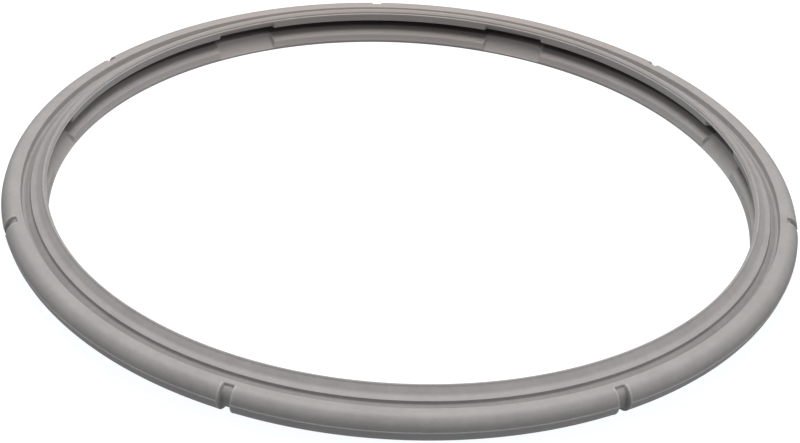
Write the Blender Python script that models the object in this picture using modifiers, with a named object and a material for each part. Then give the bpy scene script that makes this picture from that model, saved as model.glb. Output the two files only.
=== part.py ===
"""Sealing ring of a 22 cm pressure cooker: one moulded piece of silicone rubber.

A round bead runs along the outside. Two lips reach inwards from it and spread
apart, so that steam pressure between them pushes the upper lip on the lid and
the lower lip on the pot's rim. Seven windows are cut in both lips, for the
lid's locking lugs, and seven shallow notches cross the bead between them.

Metres, +Z up. The origin is on the ring's axis, level with its lowest face.
"""

import math

import bmesh
import bpy
from mathutils import Matrix

MM = 0.001

# Driving dimensions of the section, as radius from the axis and height above the base.
BEAD_RADIUS = 4.5 * MM                # the bead is round in section, but flat on top
BEAD_CENTRE = (114.0 * MM, 6.35 * MM)
BEAD_START = 62.0                     # the flat top meets the round side here, degrees
INNER_RADIUS = 105.4 * MM             # clear opening inside both lips
HEIGHT = 12.6 * MM                    # from the foot to the crest of the upper lip
FOOT_WIDTH = 2.0 * MM                 # flat ring under the lower lip
EDGE_CHAMFER = 0.5 * MM

CREST_WIDTH = 0.4 * MM                # narrow flat on top of the upper lip
CREST_SETBACK = 0.7 * MM              # the flat starts this far outside the clear opening
CREST_BEVEL = 0.8 * MM                # height of the bevel on the crest's inner side
CREST_END = (106.9 * MM, 12.0 * MM)   # outside here the crest falls away at about 45 degrees
LAND_START = (108.4 * MM, 10.55 * MM)    # and here it meets the gently sloping land
GROOVE_RADII = (110.05 * MM, 112.95 * MM)
GROOVE_RIM = 10.1 * MM                # height of the groove's two rims
GROOVE_DEPTH = 1.8 * MM
GROOVE_INNER_WALL = (0.2 * MM, 0.7 * MM)   # how far outwards and down the inner wall runs
GROOVE_OUTER_WALL = (0.3 * MM, 1.6 * MM)   # how far inwards and down the outer wall runs
GROOVE_LOWEST = 1.5 * MM              # distance of the deepest line from the inner rim

LIP_FACE_TOP = 11.1 * MM              # fine line where the upper lip's face starts
LIP_FACE_STEP = 0.1 * MM              # the line stands proud of the face by this much
LIP_FACE_BOTTOM = 8.4 * MM            # lower edge of that face: roof of the channel
LOWER_LIP_RIDGE = 3.45 * MM           # upper edge of the lower lip
LIP_SETBACK = 0.5 * MM                # both lips' faces lean outwards by this much
LIP_EDGE = 0.35 * MM                  # width of the bevel on both lips' edges at the channel
LIP_EDGE_DROP = 0.15 * MM             # height of that bevel
CHANNEL_BACK = 113.0 * MM             # deepest radius of the channel between the lips
CHANNEL_FLOOR_BEND = (109.0 * MM, 5.2 * MM)   # the floor rises to here and then runs level
CHANNEL_FLOOR_BACK = 5.3 * MM
CHANNEL_ROOF_BACK = 7.1 * MM
CHANNEL_CORNER = 0.4 * MM             # bevel in the back corners

# The pattern round the ring.
REPEATS = 7
FIRST_WINDOW = math.radians(-90.0)    # a window faces -Y, and the notch opposite faces +Y
WINDOW_WIDTH = 20.0 * MM
WINDOW_TOP = 10.4 * MM                # what is left of the upper lip's face ends here
WINDOW_BOTTOM = 0.6 * MM              # the lower lip's slope starts here
WINDOW_REACH = 109.0 * MM             # the slopes meet the channel at this radius
WINDOW_BACK = (5.25 * MM, 7.3 * MM)   # heights of the two slopes there
NOTCH_WIDTH = 3.2 * MM
NOTCH_RADII = (115.2 * MM, 113.4 * MM)   # a notch starts here on top and ends here underneath
NOTCH_CENTRE = (113.4 * MM, 6.3 * MM)    # its floor is round about here
NOTCH_FLOOR = 3.75 * MM
NOTCH_LAG = math.radians(1.1)         # the two beside the first window sit this far clockwise

STEPS = 112                           # facets round the ring
BEAD_STEPS = 9
NOTCH_STEPS = 6
CLEARANCE = 1.0 * MM                  # cutters stand this far clear of the ring
MERGE = 0.00001

SILICONE_COLOUR = (0.34, 0.325, 0.315, 1.0)
SILICONE_ROUGHNESS = 0.5


def arc(centre, radius, start, end, steps):
    """Points on an arc in the section, from start to end (degrees, 0 points outwards)."""
    points = []
    for i in range(steps + 1):
        angle = math.radians(start + (end - start) * i / steps)
        points.append((centre[0] + radius * math.cos(angle), centre[1] + radius * math.sin(angle)))
    return points


def tangent_angle(point, centre, radius):
    """Angle on the circle where a line from the point inside and below just touches it."""
    dx = point[0] - centre[0]
    dz = point[1] - centre[1]
    spread = math.degrees(math.acos(radius / math.hypot(dx, dz)))
    return math.degrees(math.atan2(dz, dx)) + spread


def ring_section():
    """Outline of the ring, clockwise from the outer edge of the bead's flat top."""
    foot_inner = (INNER_RADIUS + EDGE_CHAMFER, 0.0)
    foot_outer = (foot_inner[0] + FOOT_WIDTH, 0.0)
    bead_end = tangent_angle(foot_outer, BEAD_CENTRE, BEAD_RADIUS)
    face = INNER_RADIUS + LIP_SETBACK
    bead = arc(BEAD_CENTRE, BEAD_RADIUS, BEAD_START, bead_end, BEAD_STEPS)
    foot = [
        foot_outer,
        foot_inner,
        (INNER_RADIUS, EDGE_CHAMFER),
        (INNER_RADIUS, 2.5 * EDGE_CHAMFER),
    ]
    channel = [
        (face, LOWER_LIP_RIDGE - LIP_EDGE_DROP),
        (face + LIP_EDGE, LOWER_LIP_RIDGE),
        CHANNEL_FLOOR_BEND,
        (CHANNEL_BACK - CHANNEL_CORNER, CHANNEL_FLOOR_BACK),
        (CHANNEL_BACK, CHANNEL_FLOOR_BACK + CHANNEL_CORNER),
        (CHANNEL_BACK, CHANNEL_ROOF_BACK - CHANNEL_CORNER),
        (CHANNEL_BACK - CHANNEL_CORNER, CHANNEL_ROOF_BACK),
        (face + LIP_EDGE, LIP_FACE_BOTTOM - LIP_EDGE_DROP),
        (face, LIP_FACE_BOTTOM),
    ]
    crest_inner = INNER_RADIUS + CREST_SETBACK
    crest = [
        (INNER_RADIUS + LIP_FACE_STEP, LIP_FACE_TOP - 2 * LIP_FACE_STEP),
        (INNER_RADIUS, LIP_FACE_TOP),
        (INNER_RADIUS + 2 * LIP_FACE_STEP, HEIGHT - CREST_BEVEL),
        (crest_inner, HEIGHT),
        (crest_inner + CREST_WIDTH, HEIGHT),
        CREST_END,
        LAND_START,
    ]
    groove = [
        (GROOVE_RADII[0], GROOVE_RIM),
        (GROOVE_RADII[0] + GROOVE_INNER_WALL[0], GROOVE_RIM - GROOVE_INNER_WALL[1]),
        (GROOVE_RADII[0] + GROOVE_LOWEST, GROOVE_RIM - GROOVE_DEPTH),
        (GROOVE_RADII[1] - GROOVE_OUTER_WALL[0], GROOVE_RIM - GROOVE_OUTER_WALL[1]),
        (GROOVE_RADII[1], GROOVE_RIM),
    ]
    return bead + foot + channel + crest + groove


def window_section():
    """What a window takes away: a wedge that opens towards the axis."""
    inside = INNER_RADIUS - CLEARANCE
    floor_slope = (WINDOW_BACK[0] - WINDOW_BOTTOM) / (WINDOW_REACH - INNER_RADIUS)
    roof_slope = (WINDOW_TOP - WINDOW_BACK[1]) / (WINDOW_REACH - INNER_RADIUS)
    return [
        (inside, WINDOW_TOP + CLEARANCE * roof_slope),
        (WINDOW_REACH, WINDOW_BACK[1]),
        (WINDOW_REACH, WINDOW_BACK[0]),
        (inside, WINDOW_BOTTOM - CLEARANCE * floor_slope),
    ]


def notch_section():
    """What a notch takes away: all that lies outside a circle inside the bead."""
    start = math.degrees(math.acos((NOTCH_RADII[0] - NOTCH_CENTRE[0]) / NOTCH_FLOOR))
    end = math.degrees(math.acos((NOTCH_RADII[1] - NOTCH_CENTRE[0]) / NOTCH_FLOOR))
    outside = BEAD_CENTRE[0] + BEAD_RADIUS + CLEARANCE
    above = BEAD_CENTRE[1] + BEAD_RADIUS + CLEARANCE
    below = BEAD_CENTRE[1] - BEAD_RADIUS - CLEARANCE
    floor = arc(NOTCH_CENTRE, NOTCH_FLOOR, -end, start, NOTCH_STEPS)
    return [(NOTCH_RADII[0], above), (outside, above), (outside, below), (NOTCH_RADII[1], below)] + floor


def clear_scene():
    for item in list(bpy.data.objects):
        bpy.data.objects.remove(item, do_unlink=True)


def make_collection(name):
    collection = bpy.data.collections.new(name)
    bpy.context.scene.collection.children.link(collection)
    return collection


def silicone():
    material = bpy.data.materials.new("grey_silicone")
    material.use_nodes = True
    shader = material.node_tree.nodes["Principled BSDF"]
    shader.inputs["Base Color"].default_value = SILICONE_COLOUR
    shader.inputs["Roughness"].default_value = SILICONE_ROUGHNESS
    shader.inputs["Metallic"].default_value = 0.0
    return material


def turned(name, section, collection):
    """A closed outline at +X, turned once round the Z axis."""
    mesh = bpy.data.meshes.new(name)
    points = [(radius, 0.0, height) for radius, height in section]
    edges = [(i, (i + 1) % len(points)) for i in range(len(points))]
    mesh.from_pydata(points, edges, [])
    item = bpy.data.objects.new(name, mesh)
    collection.objects.link(item)
    screw = item.modifiers.new("turn", "SCREW")
    screw.axis = "Z"
    screw.angle = math.tau
    screw.steps = STEPS
    screw.render_steps = STEPS
    screw.use_merge_vertices = True
    screw.merge_threshold = MERGE
    return item


def even_angles(first):
    """Azimuths of a pattern that repeats evenly round the ring."""
    return [first + math.tau * i / REPEATS for i in range(REPEATS)]


def notch_angles():
    """Midway between the windows, but the two beside the first window lag a little."""
    angles = even_angles(FIRST_WINDOW + math.pi / REPEATS)
    angles[0] -= NOTCH_LAG
    angles[-1] -= NOTCH_LAG
    return angles


def radial_blocks(name, width, radii, angles, collection):
    """Equal blocks standing round the axis, each centred on its own azimuth."""
    shape = bmesh.new()
    length = radii[1] - radii[0]
    size = Matrix.Diagonal((length, width, 3.0 * HEIGHT, 1.0))
    place = Matrix.Translation(((radii[0] + radii[1]) / 2, 0.0, HEIGHT / 2))
    for angle in angles:
        turn = Matrix.Rotation(angle, 4, "Z")
        bmesh.ops.create_cube(shape, size=1.0, matrix=turn @ place @ size)
    mesh = bpy.data.meshes.new(name)
    shape.to_mesh(mesh)
    shape.free()
    item = bpy.data.objects.new(name, mesh)
    collection.objects.link(item)
    return item


def boolean(item, other, operation):
    modifier = item.modifiers.new(operation.lower() + "_" + other.name, "BOOLEAN")
    modifier.operation = operation
    modifier.solver = "EXACT"
    modifier.object = other


def cut_pattern(ring, name, section, width, angles, collection):
    """Cut the same pocket at every angle: the turned section, kept only inside the blocks."""
    pockets = turned(name + "_pockets", section, collection)
    radii = (INNER_RADIUS - 4 * CLEARANCE, BEAD_CENTRE[0] + BEAD_RADIUS + 4 * CLEARANCE)
    blocks = radial_blocks(name + "_blocks", width, radii, angles, collection)
    boolean(pockets, blocks, "INTERSECT")
    boolean(ring, pockets, "DIFFERENCE")


def build():
    clear_scene()
    parts = make_collection("pressure_cooker_sealing_ring")
    cutters = make_collection("cutters")
    ring = turned("sealing_ring", ring_section(), parts)
    cut_pattern(ring, "window", window_section(), WINDOW_WIDTH, even_angles(FIRST_WINDOW), cutters)
    cut_pattern(ring, "notch", notch_section(), NOTCH_WIDTH, notch_angles(), cutters)
    for cutter in cutters.objects:
        cutter.hide_render = True
        cutter.display_type = "WIRE"
    ring.data.materials.append(silicone())
    ring.data.shade_smooth()
    ring.data.set_sharp_from_angle(angle=math.radians(30.0))


build()
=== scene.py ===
"""Looks of a pressure cooker's sealing ring, one moulding of grey silicone rubber.

The ring is one closed surface: its section is swept round the Z axis in narrow steps, and the
seven windows, the seven notches and the fine marks of the mould are worked into it on the way.
Lengths are in millimetres here and become metres as the mesh is made.
"""

import math

import bpy
import numpy as np
from mathutils import Matrix, Vector


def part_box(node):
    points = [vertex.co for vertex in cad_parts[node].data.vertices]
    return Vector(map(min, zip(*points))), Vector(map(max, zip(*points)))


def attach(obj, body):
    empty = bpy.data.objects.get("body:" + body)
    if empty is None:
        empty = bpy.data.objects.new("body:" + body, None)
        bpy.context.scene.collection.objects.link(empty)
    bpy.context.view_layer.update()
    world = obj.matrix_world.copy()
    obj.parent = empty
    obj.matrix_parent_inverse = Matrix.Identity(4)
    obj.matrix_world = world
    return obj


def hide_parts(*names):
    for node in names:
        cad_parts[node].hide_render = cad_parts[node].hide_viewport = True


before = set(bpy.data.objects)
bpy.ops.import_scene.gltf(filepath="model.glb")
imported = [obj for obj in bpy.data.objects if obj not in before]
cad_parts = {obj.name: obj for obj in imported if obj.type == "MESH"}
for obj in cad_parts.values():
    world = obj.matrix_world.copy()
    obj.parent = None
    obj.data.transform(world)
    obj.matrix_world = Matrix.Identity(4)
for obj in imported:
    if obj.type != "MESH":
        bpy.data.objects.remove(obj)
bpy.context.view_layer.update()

MM = 0.001
RING_HIGH = np.array(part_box("sealing_ring")[1]) / MM

# The section: radius from the axis and height above the lowest face.
OUTER_RADIUS = RING_HIGH[0]
HEIGHT = RING_HIGH[2]
BEAD_RADIUS = 4.5
BEAD_CENTRE = np.array((OUTER_RADIUS - BEAD_RADIUS, 6.35))
LIP_RADIUS = 105.4                    # clear opening inside both lips
LIP_SETBACK = 0.5                     # both lips' faces lean outwards by this much
LIP_FACE = LIP_RADIUS + LIP_SETBACK
CREST_WIDTH = 0.4
FACE_START = (LIP_RADIUS + 0.04, 10.75)    # the upper lip's face starts just under a fine line
FACE_BOTTOM = 8.4                     # lower edge of the upper lip's face: roof of the channel
FOOT_EDGE = (LIP_RADIUS, 0.9)         # the lower lip's inner edge, above the foot's chamfer
FOOT_WIDTH = 2.0
CHANNEL_FLOOR = (109.0, 5.2)          # the lower lip's slope ends here
CHANNEL_ROOF = (107.9, 8.2)           # and the upper lip's here
WINDOW_TOP = 10.45                    # in a window, the upper lip's face ends here
GROOVE_RADII = (110.05, 112.95)
GROOVE_RIM = 10.1
GROOVE_DEPTH = 2.0
CROWN_HEIGHT = 10.5                   # the bead's top is nearly flat
CROWN_SLOPE = math.radians(4.0)
BEAD_START = 40.0                     # from here down the bead is round, degrees above its middle
BEAD_END = -74.0                      # and here the slope to the foot starts
POINT_SPACING = 0.3                   # longest step along the section
LOW_POINTS = 34                       # points on the lower lip, whole or cut
HIGH_POINTS = 40                      # the same on the upper lip

# The pattern round the ring. Angles are degrees, and offsets are arc lengths.
REPEATS = 7
FIRST_WINDOW = -90.0
FIRST_NOTCH = FIRST_WINDOW + 180.0 / REPEATS
WINDOW_WIDTH = 20.0
CORNER_START = 106.2                  # in the lower lip, a window's back corners are round
CORNER_RADIUS = 2.5
NOTCH_LAG = 1.1                       # the two beside the first window sit this far clockwise
NOTCH_WIDTH = 3.2
NOTCH_RADII = (115.2, 113.4)          # a notch starts here on top and ends here underneath
NOTCH_CENTRE = np.array((113.4, 6.3))    # its floor is round about here
NOTCH_FLOOR = 3.75
COLUMNS = 600                         # even steps round the ring, before the extra ones at edges
EDGE_STEP = 0.1                       # the extra columns are this far apart
COLUMN_GAP = 0.03                     # an even column nearer than this to an extra one is left out
WINDOW_EDGE = 0.45                    # a window's sides are sloped over this far either way, low down
FACE_EDGE = 0.3                       # and this far in the upper lip's face

SEAM_ANGLE = 1.3                      # where the mould's halves met, degrees above the bead's middle
SEAM_HEIGHT = 0.2
SEAM_WIDTH = 0.2
SEAM_HIGHLIGHT = 0.5                       # painted highlight on thin edges: the notches' rims fully, the seam less
RIM_HEIGHT = 0.06
RIM_PLACE = 0.35                      # the rims stand this far outside a notch's sides
RIM_WIDTH = 0.3
DEEP_START = 106.5                    # the channel darkens outwards from here
DEEP_START_IN_WINDOW = 108.8
DEEP_LENGTH = 3.5

DARK_GREY = (0.248, 0.241, 0.238, 1.0)
PALE_GREY = (0.302, 0.294, 0.291, 1.0)
# painted warm light: the far side, towards +Y, is tinted towards this
WARM_LIGHT_GREY = (0.302, 0.272, 0.258, 1.0)
# painted highlight colour for the notches' rims and the seam, not a pigment
HIGHLIGHT_GREY = (0.345, 0.342, 0.342, 1.0)
DEEP_GREY = (0.13, 0.118, 0.112, 1.0)      # not a pigment: it stands for shade that the lights leave out

FLOOR_REACH = 8.0                     # metres from the middle to each side
FLOOR_GAP = 0.1                       # the floor that lights the ring lies this far under the other
FLOOR_GLOW = (0.95, 0.975, 1.0, 1.0)
WORLD_COLOUR = (0.95, 0.97, 1.0, 1.0)
WORLD_STRENGTH = 0.14

CAMERA_PLACE = (-52.5, -484.6, 304.8)
CAMERA_HEADING = math.radians(6.20)   # to the right of +Y
CAMERA_TILT = math.radians(32.586)    # down from level
CAMERA_LEAN = math.radians(3.424)     # to the left
CAMERA_LENS = 85.09
CAMERA_SENSOR = 36.0


def smooth(x, start, end):
    """0 before start, 1 after end, and a smooth step between. The two may be in either order."""
    t = np.clip((x - start) / (end - start), 0.0, 1.0)
    return t * t * (3.0 - 2.0 * t)


def bump(x, width):
    """A round bump of height 1 at 0."""
    return np.exp(-(x / width) ** 2)


def arc(centre, radius, start, end, steps):
    """Points on an arc in the section, from start to end (degrees, 0 points outwards)."""
    angles = np.radians(np.linspace(start, end, steps + 1))
    return [(centre[0] + radius * math.cos(a), centre[1] + radius * math.sin(a)) for a in angles]


def rounded(corners, steps=5):
    """A line through corners (radius, height, fillet), with each inner corner rounded off."""
    line = [np.array(corners[0][:2])]
    for before, corner, after in zip(corners, corners[1:], corners[2:]):
        here = np.array(corner[:2])
        back = np.array(before[:2]) - here
        ahead = np.array(after[:2]) - here
        back_length = np.linalg.norm(back)
        ahead_length = np.linalg.norm(ahead)
        back /= back_length
        ahead /= ahead_length
        half = math.acos(np.clip(back @ ahead, -1.0, 1.0)) / 2.0
        reach = min(corner[2] / math.tan(half), 0.48 * back_length, 0.48 * ahead_length)
        for t in np.linspace(0.0, 1.0, steps + 1):
            start = here + back * reach * (1.0 - t)
            end = here + ahead * reach * t
            line.append(start * (1.0 - t) + end * t)
    line.append(np.array(corners[-1][:2]))
    return line


def crown():
    """The bead's top: nearly flat at the groove, then turning down into the round side."""
    start = np.array((BEAD_CENTRE[0] + 0.6, CROWN_HEIGHT - 0.12))
    end = np.array(arc(BEAD_CENTRE, BEAD_RADIUS, BEAD_START, BEAD_START, 1)[0])
    turn = math.radians(BEAD_START)
    start_pull = start + 1.35 * np.array((math.cos(CROWN_SLOPE), math.sin(CROWN_SLOPE)))
    end_pull = end + 1.25 * np.array((-math.sin(turn), math.cos(turn)))
    points = []
    for t in np.linspace(0.0, 1.0, 13):
        near = start * (1.0 - t) ** 3 + start_pull * 3.0 * t * (1.0 - t) ** 2
        points.append(near + end_pull * 3.0 * t ** 2 * (1.0 - t) + end * t ** 3)
    return points


def spaced(line, spacing=POINT_SPACING):
    """The same line with no step longer than the spacing."""
    points = [line[0]]
    for start, end in zip(line, line[1:]):
        start, end = np.array(start), np.array(end)
        count = max(1, math.ceil(np.linalg.norm(end - start) / spacing))
        points += [start + (end - start) * i / count for i in range(1, count + 1)]
    return np.array(points)


def evenly(line, count):
    """A line as count points, evenly spaced along it."""
    line = np.array(line)
    steps = np.linalg.norm(np.diff(line, axis=0), axis=1)
    along = np.concatenate(([0.0], np.cumsum(steps)))
    wanted = np.linspace(0.0, along[-1], count)
    return np.stack([np.interp(wanted, along, line[:, k]) for k in (0, 1)], axis=1)


def upper_half():
    """From the upper lip's face, over the crest and the groove, to the bead."""
    lip = rounded([
        FACE_START + (0.0,),
        (FACE_START[0], 10.95, 0.1),
        (LIP_RADIUS, 11.1, 0.1),
        (LIP_RADIUS + 0.25, 11.3, 0.12),
        (LIP_RADIUS + 0.25, HEIGHT - 0.8, 0.25),
        (LIP_RADIUS + 0.75, HEIGHT, 0.35),
        (LIP_RADIUS + 0.75 + CREST_WIDTH, HEIGHT - 0.05, 0.2),
        (LIP_RADIUS + 1.5, HEIGHT - 0.55, 0.3),
        (GROOVE_RADII[0] - 1.6, GROOVE_RIM + 0.48, 2.2),
        (GROOVE_RADII[0], GROOVE_RIM, 0.12),
        (GROOVE_RADII[0] + 0.22, GROOVE_RIM - 0.9, 0.7),
        (GROOVE_RADII[0] + 1.65, GROOVE_RIM - GROOVE_DEPTH, 0.5),
        (GROOVE_RADII[1] - 0.35, GROOVE_RIM - GROOVE_DEPTH + 0.1, 0.5),
        (GROOVE_RADII[1], GROOVE_RIM, 0.12),
        tuple(crown()[0]) + (0.0,),
    ])
    return lip[:-1] + crown()


def bead():
    """The round outer side, with close points at the seam and where a notch ends."""
    seam = [SEAM_ANGLE + step for step in (-6, -4.5, -3, -2, -1, 0, 1, 2, 3, 4.5, 6)]
    low = [-60.0, -64.0, -67.0, -69.0, -71.0, -72.5, BEAD_END]
    even = list(np.arange(BEAD_START, -57.0, -4.0))
    clear = [a for a in even if min(abs(a - b) for b in seam) > 2.0]
    angles = sorted(clear + seam + low, reverse=True)
    return [arc(BEAD_CENTRE, BEAD_RADIUS, a, a, 1)[0] for a in angles]


def lower_half():
    """From the bead's underside, under the foot, to the lower lip's inner edge."""
    foot = LIP_RADIUS + 0.5
    return rounded([
        bead()[-1] + (0.0,),
        (foot + FOOT_WIDTH, 0.0, 0.6),
        (foot, 0.0, 0.5),
        (LIP_RADIUS, 0.7, 0.35),
        FOOT_EDGE + (0.0,),
    ])


def lower_lip():
    """The lower lip's face and slope up to the channel's floor, whole and as a window cuts them."""
    whole = rounded([
        FOOT_EDGE + (0.0,),
        (LIP_RADIUS - 0.02, 1.3, 0.1),
        (LIP_RADIUS + 0.12, 1.5, 0.1),
        (LIP_FACE - 0.05, 3.15, 0.2),
        (LIP_FACE + 0.3, 3.45, 0.2),
        CHANNEL_FLOOR + (0.0,),
    ])
    cut = rounded([
        FOOT_EDGE + (0.0,),
        (LIP_RADIUS + 0.3, 1.05, 0.15),
        CHANNEL_FLOOR + (0.0,),
    ])
    return evenly(whole, LOW_POINTS), evenly(cut, LOW_POINTS)


def channel_back():
    return rounded([
        CHANNEL_FLOOR + (0.0,),
        (113.0, 5.25, 0.5),
        (113.1, 7.0, 0.5),
        (111.8, 7.25, 0.5),
        CHANNEL_ROOF + (0.0,),
    ])


def upper_lip():
    """The channel's roof and the upper lip's face, whole and as a window cuts them."""
    whole = rounded([
        CHANNEL_ROOF + (0.0,),
        (LIP_FACE + 0.35, FACE_BOTTOM - 0.12, 0.15),
        (LIP_FACE, FACE_BOTTOM + 0.05, 0.2),
        FACE_START + (0.0,),
    ])
    cut = rounded([
        CHANNEL_ROOF + (0.0,),
        (LIP_RADIUS + 0.2, WINDOW_TOP, 0.1),
        FACE_START + (0.0,),
    ])
    return evenly(whole, HIGH_POINTS), evenly(cut, HIGH_POINTS)


def section():
    """The closed outline, clockwise from the crest's inner side, and what the cuts change in it."""
    low, low_cut = lower_lip()
    high, high_cut = upper_lip()
    chains = [spaced(upper_half()), np.array(bead()), spaced(lower_half()), low, spaced(channel_back()), high]
    starts = np.cumsum([0] + [len(chain) - 1 for chain in chains])
    outline = np.concatenate([chain[:-1] for chain in chains])
    low_change = np.zeros_like(outline)
    low_change[starts[3]:starts[4]] = (low_cut - low)[:-1]
    high_change = np.zeros_like(outline)
    high_change[starts[5]:starts[6]] = (high_cut - high)[:-1]
    return outline, low_change, high_change


def window_angles():
    return FIRST_WINDOW + np.arange(REPEATS) * 360.0 / REPEATS


def past_window_side(angles):
    """How far each column is outside the nearest window's side: negative inside a window."""
    return np.abs(nearest_offset(angles, window_angles(), LIP_RADIUS)) - WINDOW_WIDTH / 2.0


def notch_angles():
    """Midway between the windows, but the two beside the first window lag a little."""
    angles = FIRST_NOTCH + np.arange(REPEATS) * 360.0 / REPEATS
    angles[[0, -1]] -= NOTCH_LAG
    return angles


def nearest_offset(angles, places, radius):
    """Arc length from each angle to the nearest of the places, at the radius."""
    away = (angles[:, None] - places[None, :] + 180.0) % 360.0 - 180.0
    nearest = np.abs(away).argmin(axis=1)
    return np.radians(away[np.arange(len(angles)), nearest]) * radius


def column_angles():
    """Angles of the columns: even steps, with more at the sides of the windows and notches."""
    extra = []
    for places, radius, half_width, start, end in (
        (window_angles(), LIP_RADIUS, WINDOW_WIDTH / 2.0, -2.4, 0.6),
        (notch_angles(), OUTER_RADIUS, NOTCH_WIDTH / 2.0, -0.6, 1.0),
    ):
        for place in places:
            for side in (-1.0, 1.0):
                for offset in np.arange(start, end + EDGE_STEP / 10.0, EDGE_STEP):
                    extra.append(place + math.degrees(side * (half_width + offset) / radius))
    extra = np.sort(np.array(extra) % 360.0)
    even = np.arange(COLUMNS) * 360.0 / COLUMNS
    gap = np.abs((even[:, None] - extra[None, :] + 180.0) % 360.0 - 180.0).min(axis=1)
    return np.sort(np.concatenate([extra, even[gap > COLUMN_GAP]]))


def ring_points(outline, low_change, high_change, angles):
    """Radius and height of every point of the grid of columns, and how strongly a highlight is painted there.
    """
    window = past_window_side(angles)
    inside = np.clip(outline[:, 0] - CORNER_START, 0.0, 0.95 * CORNER_RADIUS)
    corner = CORNER_RADIUS - np.sqrt(CORNER_RADIUS ** 2 - inside ** 2)
    low = smooth(window[:, None] + corner[None], WINDOW_EDGE, -WINDOW_EDGE)[..., None]
    high = smooth(window, FACE_EDGE, -FACE_EDGE)[:, None, None]
    points = outline[None] + low * low_change[None] + high * high_change[None]

    side = np.abs(nearest_offset(angles, notch_angles(), OUTER_RADIUS))[:, None] - NOTCH_WIDTH / 2.0
    edge = np.where(points[..., 1] > BEAD_CENTRE[1], *NOTCH_RADII)
    outer = smooth(points[..., 0] - edge, -0.1, 0.12)
    from_bead = points - BEAD_CENTRE
    from_notch = points - NOTCH_CENTRE
    bead_distance = np.linalg.norm(from_bead, axis=2)[..., None]
    notch_distance = np.linalg.norm(from_notch, axis=2)[..., None]
    bead_angle = np.degrees(np.arctan2(from_bead[..., 1], from_bead[..., 0]))
    seam = bump((bead_angle - SEAM_ANGLE) * math.radians(BEAD_RADIUS), SEAM_WIDTH) * outer
    seam = seam * smooth(side, 0.1, 0.5)
    rim = bump(side - RIM_PLACE, RIM_WIDTH) * outer
    cut = (outer * smooth(side, 0.15, -0.3))[..., None]
    depth = np.maximum(notch_distance - NOTCH_FLOOR, 0.0)
    raised = (RIM_HEIGHT * rim + SEAM_HEIGHT * seam)[..., None]
    moved = points - cut * depth * from_notch / notch_distance
    moved += raised * from_bead / bead_distance
    # the second result paints a highlight on the notches' rims and, weaker, on the seam
    return moved, np.clip(rim + SEAM_HIGHLIGHT * seam, 0.0, 1.0)


def depth_in_channel(points, angles):
    """1 in shade, deep in the channel and along the foot's edges, and 0 on the open sides."""
    radius, height = points[..., 0], points[..., 1]
    between = smooth(height, 3.4, 4.4) * smooth(height, 8.4, 7.7)
    cut = smooth(past_window_side(angles), WINDOW_EDGE, -WINDOW_EDGE)[:, None]
    start = DEEP_START + (DEEP_START_IN_WINDOW - DEEP_START) * cut
    channel = smooth(radius - start, 0.0, DEEP_LENGTH) * between * (radius < GROOVE_RADII[1] + 0.4)
    under = smooth(height, 0.55, 0.3) * (radius < LIP_RADIUS + FOOT_WIDTH + 0.6)
    return channel + under


def swept_mesh(name, points, marks, angles):
    """One closed mesh from the grid of points, joined round the ring and round the section."""
    columns, rows = points.shape[:2]
    turn = np.radians(angles)[:, None]
    radius = points[..., 0] * MM
    corners = np.stack([radius * np.cos(turn), radius * np.sin(turn), points[..., 1] * MM], axis=2)
    number = np.arange(columns * rows).reshape(columns, rows)
    ahead = np.roll(number, -1, axis=0)
    quads = np.stack([number, ahead, np.roll(ahead, -1, axis=1), np.roll(number, -1, axis=1)], axis=2)
    mesh = bpy.data.meshes.new(name)
    mesh.from_pydata(corners.reshape(-1, 3).tolist(), [], quads.reshape(-1, 4).tolist())
    mesh.shade_smooth()
    for mark, values in marks.items():
        mesh.attributes.new(mark, "FLOAT", "POINT").data.foreach_set("value", values.ravel())
    item = bpy.data.objects.new(name, mesh)
    bpy.context.scene.collection.objects.link(item)
    return item


def node(tree, kind, inputs=None, **settings):
    """A new shader node with its settings and its unlinked inputs."""
    made = tree.nodes.new(kind)
    for key, value in settings.items():
        setattr(made, key, value)
    for key, value in (inputs or {}).items():
        made.inputs[key].default_value = value
    return made


def ramp(tree, factor, stops):
    """A colour ramp from (position, colour) pairs, driven by the factor."""
    made = tree.nodes.new("ShaderNodeValToRGB")
    elements = made.color_ramp.elements
    while len(elements) < len(stops):
        elements.new(0.5)
    for element, (position, colour) in zip(elements, stops):
        element.position = position
        element.color = colour
    tree.links.new(factor, made.inputs["Fac"])
    return made.outputs["Color"]


def mixed(tree, factor, first, second):
    """A blend of two colours. Each input is a socket or a plain value."""
    made = node(tree, "ShaderNodeMix", data_type="RGBA")
    for socket, value in zip((made.inputs[0], made.inputs[6], made.inputs[7]), (factor, first, second)):
        if isinstance(value, bpy.types.NodeSocket):
            tree.links.new(value, socket)
        else:
            socket.default_value = value
    return made.outputs[2]


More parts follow.
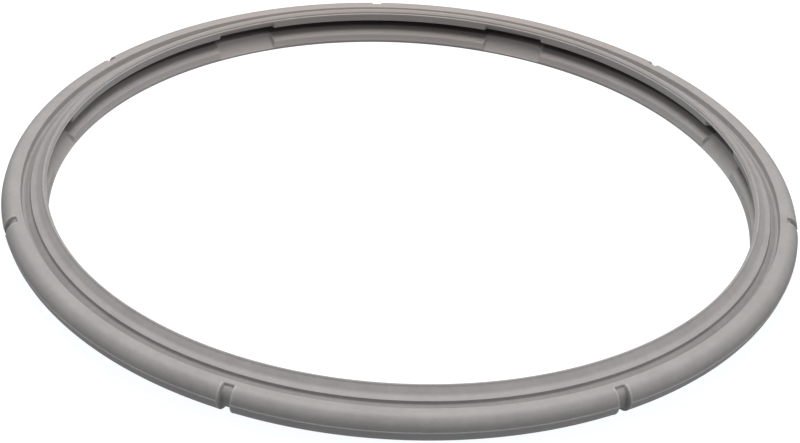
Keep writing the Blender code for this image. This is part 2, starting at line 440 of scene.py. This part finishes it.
def silicone():
    """Matt grey silicone rubber: faint clouds, blotches and a dusty grain, and a painted warm light towards
    +Y.

    It has a painted highlight on the notches' rims and the seam, and painted shade deep in the channel and
    under the foot.
    """
    material = bpy.data.materials.new("grey_silicone")
    material.use_nodes = True
    tree = material.node_tree
    shader = tree.nodes["Principled BSDF"]
    place = node(tree, "ShaderNodeTexCoord").outputs["Object"]
    clouds = node(tree, "ShaderNodeTexNoise", {"Scale": 90.0, "Detail": 3.0, "Roughness": 0.6})
    blotches = node(tree, "ShaderNodeTexNoise", {"Scale": 480.0, "Detail": 3.0, "Roughness": 0.65})
    grain = node(tree, "ShaderNodeTexNoise", {"Scale": 2200.0, "Detail": 3.0, "Roughness": 0.6})
    for texture in (clouds, blotches, grain):
        tree.links.new(place, texture.inputs["Vector"])
    cloudy = ramp(tree, clouds.outputs["Fac"], [(0.3, DARK_GREY), (0.7, PALE_GREY)])
    blotchy = ramp(tree, blotches.outputs["Fac"], [(0.3, DARK_GREY), (0.7, PALE_GREY)])
    even = mixed(tree, 0.5, cloudy, blotchy)
    # painted warm light: the colour warms towards +Y, the far side
    axes = node(tree, "ShaderNodeSeparateXYZ")
    tree.links.new(place, axes.inputs["Vector"])
    painted_warm_light = node(tree, "ShaderNodeMapRange", {"From Min": 0.05, "From Max": 0.118, "To Max": 0.9})
    tree.links.new(axes.outputs["Y"], painted_warm_light.inputs["Value"])
    colour = mixed(tree, painted_warm_light.outputs["Result"], even, WARM_LIGHT_GREY)
    painted_highlight = node(tree, "ShaderNodeAttribute", attribute_name="edge_highlight").outputs["Fac"]
    deep = node(tree, "ShaderNodeAttribute", attribute_name="depth").outputs["Fac"]
    # painted highlight on the thin rims and the seam
    colour = mixed(tree, painted_highlight, colour, HIGHLIGHT_GREY)
    tree.links.new(mixed(tree, deep, colour, DEEP_GREY), shader.inputs["Base Color"])
    rough = ramp(tree, blotches.outputs["Fac"], [
        (0.3, (0.58, 0.58, 0.58, 1.0)),
        (0.7, (0.72, 0.72, 0.72, 1.0)),
    ])
    tree.links.new(rough, shader.inputs["Roughness"])
    relief = node(tree, "ShaderNodeBump", {"Strength": 0.3, "Distance": 0.00005})
    tree.links.new(grain.outputs["Fac"], relief.inputs["Height"])
    tree.links.new(relief.outputs["Normal"], shader.inputs["Normal"])
    shader.inputs["IOR"].default_value = 1.41
    shader.inputs["Specular IOR Level"].default_value = 0.4
    return material


def make_ring():
    """The whole ring, in place of the CAD's."""
    angles = column_angles()
    points, edge_highlight = ring_points(*section(), angles)
    marks = {"edge_highlight": edge_highlight, "depth": depth_in_channel(points, angles)}
    ring = swept_mesh("silicone_ring", points, marks, angles)
    ring.data.materials.append(silicone())
    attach(ring, "root")
    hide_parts("sealing_ring")


def make_floor(name, height, albedo, glow):
    """A wide pale level surface that also shines a little, like a light table."""
    corners = [(x * FLOOR_REACH, y * FLOOR_REACH, height) for x, y in ((-1, -1), (1, -1), (1, 1), (-1, 1))]
    mesh = bpy.data.meshes.new(name)
    mesh.from_pydata(corners, [], [(0, 1, 2, 3)])
    floor = bpy.data.objects.new(name, mesh)
    bpy.context.scene.collection.objects.link(floor)
    material = bpy.data.materials.new(name)
    material.use_nodes = True
    shader = material.node_tree.nodes["Principled BSDF"]
    shader.inputs["Base Color"].default_value = (albedo, albedo, albedo, 1.0)
    shader.inputs["Roughness"].default_value = 0.9
    shader.inputs["Specular IOR Level"].default_value = 0.1
    shader.inputs["Emission Color"].default_value = FLOOR_GLOW
    shader.inputs["Emission Strength"].default_value = glow
    mesh.materials.append(material)
    return floor


def make_floors():
    """One surface that the camera sees, and a duller one just below it that lights the ring."""
    seen = make_floor("floor", 0.0, 0.2, 0.97)
    seen.visible_diffuse = False
    seen.visible_glossy = False
    dull = make_floor("floor_bounce", -FLOOR_GAP * MM, 0.5, 0.36)
    dull.visible_camera = False


def make_sun(name, azimuth, elevation, spread, strength, colour):
    """A soft distant light. It shines from the azimuth (degrees from +X) and the elevation."""
    light = bpy.data.lights.new(name, "SUN")
    light.angle = math.radians(spread)
    light.energy = strength
    light.color = colour
    item = bpy.data.objects.new(name, light)
    bpy.context.scene.collection.objects.link(item)
    a, e = math.radians(azimuth), math.radians(elevation)
    towards = Vector((math.cos(a) * math.cos(e), math.sin(a) * math.cos(e), math.sin(e)))
    item.rotation_euler = towards.to_track_quat("Z", "Y").to_euler()


def make_softbox(name, place, size, power, colour):
    """A round light over the ring, shining straight down."""
    light = bpy.data.lights.new(name, "AREA")
    light.shape = "DISK"
    light.size = size * MM
    light.energy = power
    light.color = colour
    item = bpy.data.objects.new(name, light)
    bpy.context.scene.collection.objects.link(item)
    item.location = Vector(place) * MM
    item.visible_camera = False


def make_light():
    """Plain soft studio light: a softbox overhead, weak ones at both sides, and an even surround."""
    make_softbox("overhead", (0.0, 30.0, 530.0), 360.0, 3.95, (1.0, 0.975, 0.955))
    make_sun("right_side", -20.0, 12.0, 70.0, 1.5, (1.0, 0.99, 0.98))
    make_sun("left_side", 185.0, 12.0, 70.0, 1.15, (1.0, 0.99, 0.98))
    world = bpy.data.worlds.new("studio")
    bpy.context.scene.world = world
    world.use_nodes = True
    background = world.node_tree.nodes["Background"]
    background.inputs["Color"].default_value = WORLD_COLOUR
    background.inputs["Strength"].default_value = WORLD_STRENGTH


def make_camera():
    """A long lens from the front, looking down on the ring, leaning a little to one side."""
    level = Vector((math.sin(CAMERA_HEADING), math.cos(CAMERA_HEADING), 0.0))
    ahead = level * math.cos(CAMERA_TILT) - Vector((0.0, 0.0, math.sin(CAMERA_TILT)))
    right = ahead.cross(Vector((0.0, 0.0, 1.0))).normalized()
    up = right.cross(ahead)
    turned_right = right * math.cos(CAMERA_LEAN) + up * math.sin(CAMERA_LEAN)
    turned_up = up * math.cos(CAMERA_LEAN) - right * math.sin(CAMERA_LEAN)
    data = bpy.data.cameras.new("camera")
    data.lens = CAMERA_LENS
    data.sensor_width = CAMERA_SENSOR
    camera = bpy.data.objects.new("camera", data)
    bpy.context.scene.collection.objects.link(camera)
    axes = Matrix((turned_right, turned_up, -ahead)).transposed()
    camera.matrix_world = Matrix.Translation(Vector(CAMERA_PLACE) * MM) @ axes.to_4x4()
    bpy.context.scene.camera = camera


bpy.context.scene.view_settings.view_transform = "Standard"
make_ring()
make_floors()
make_light()
make_camera()
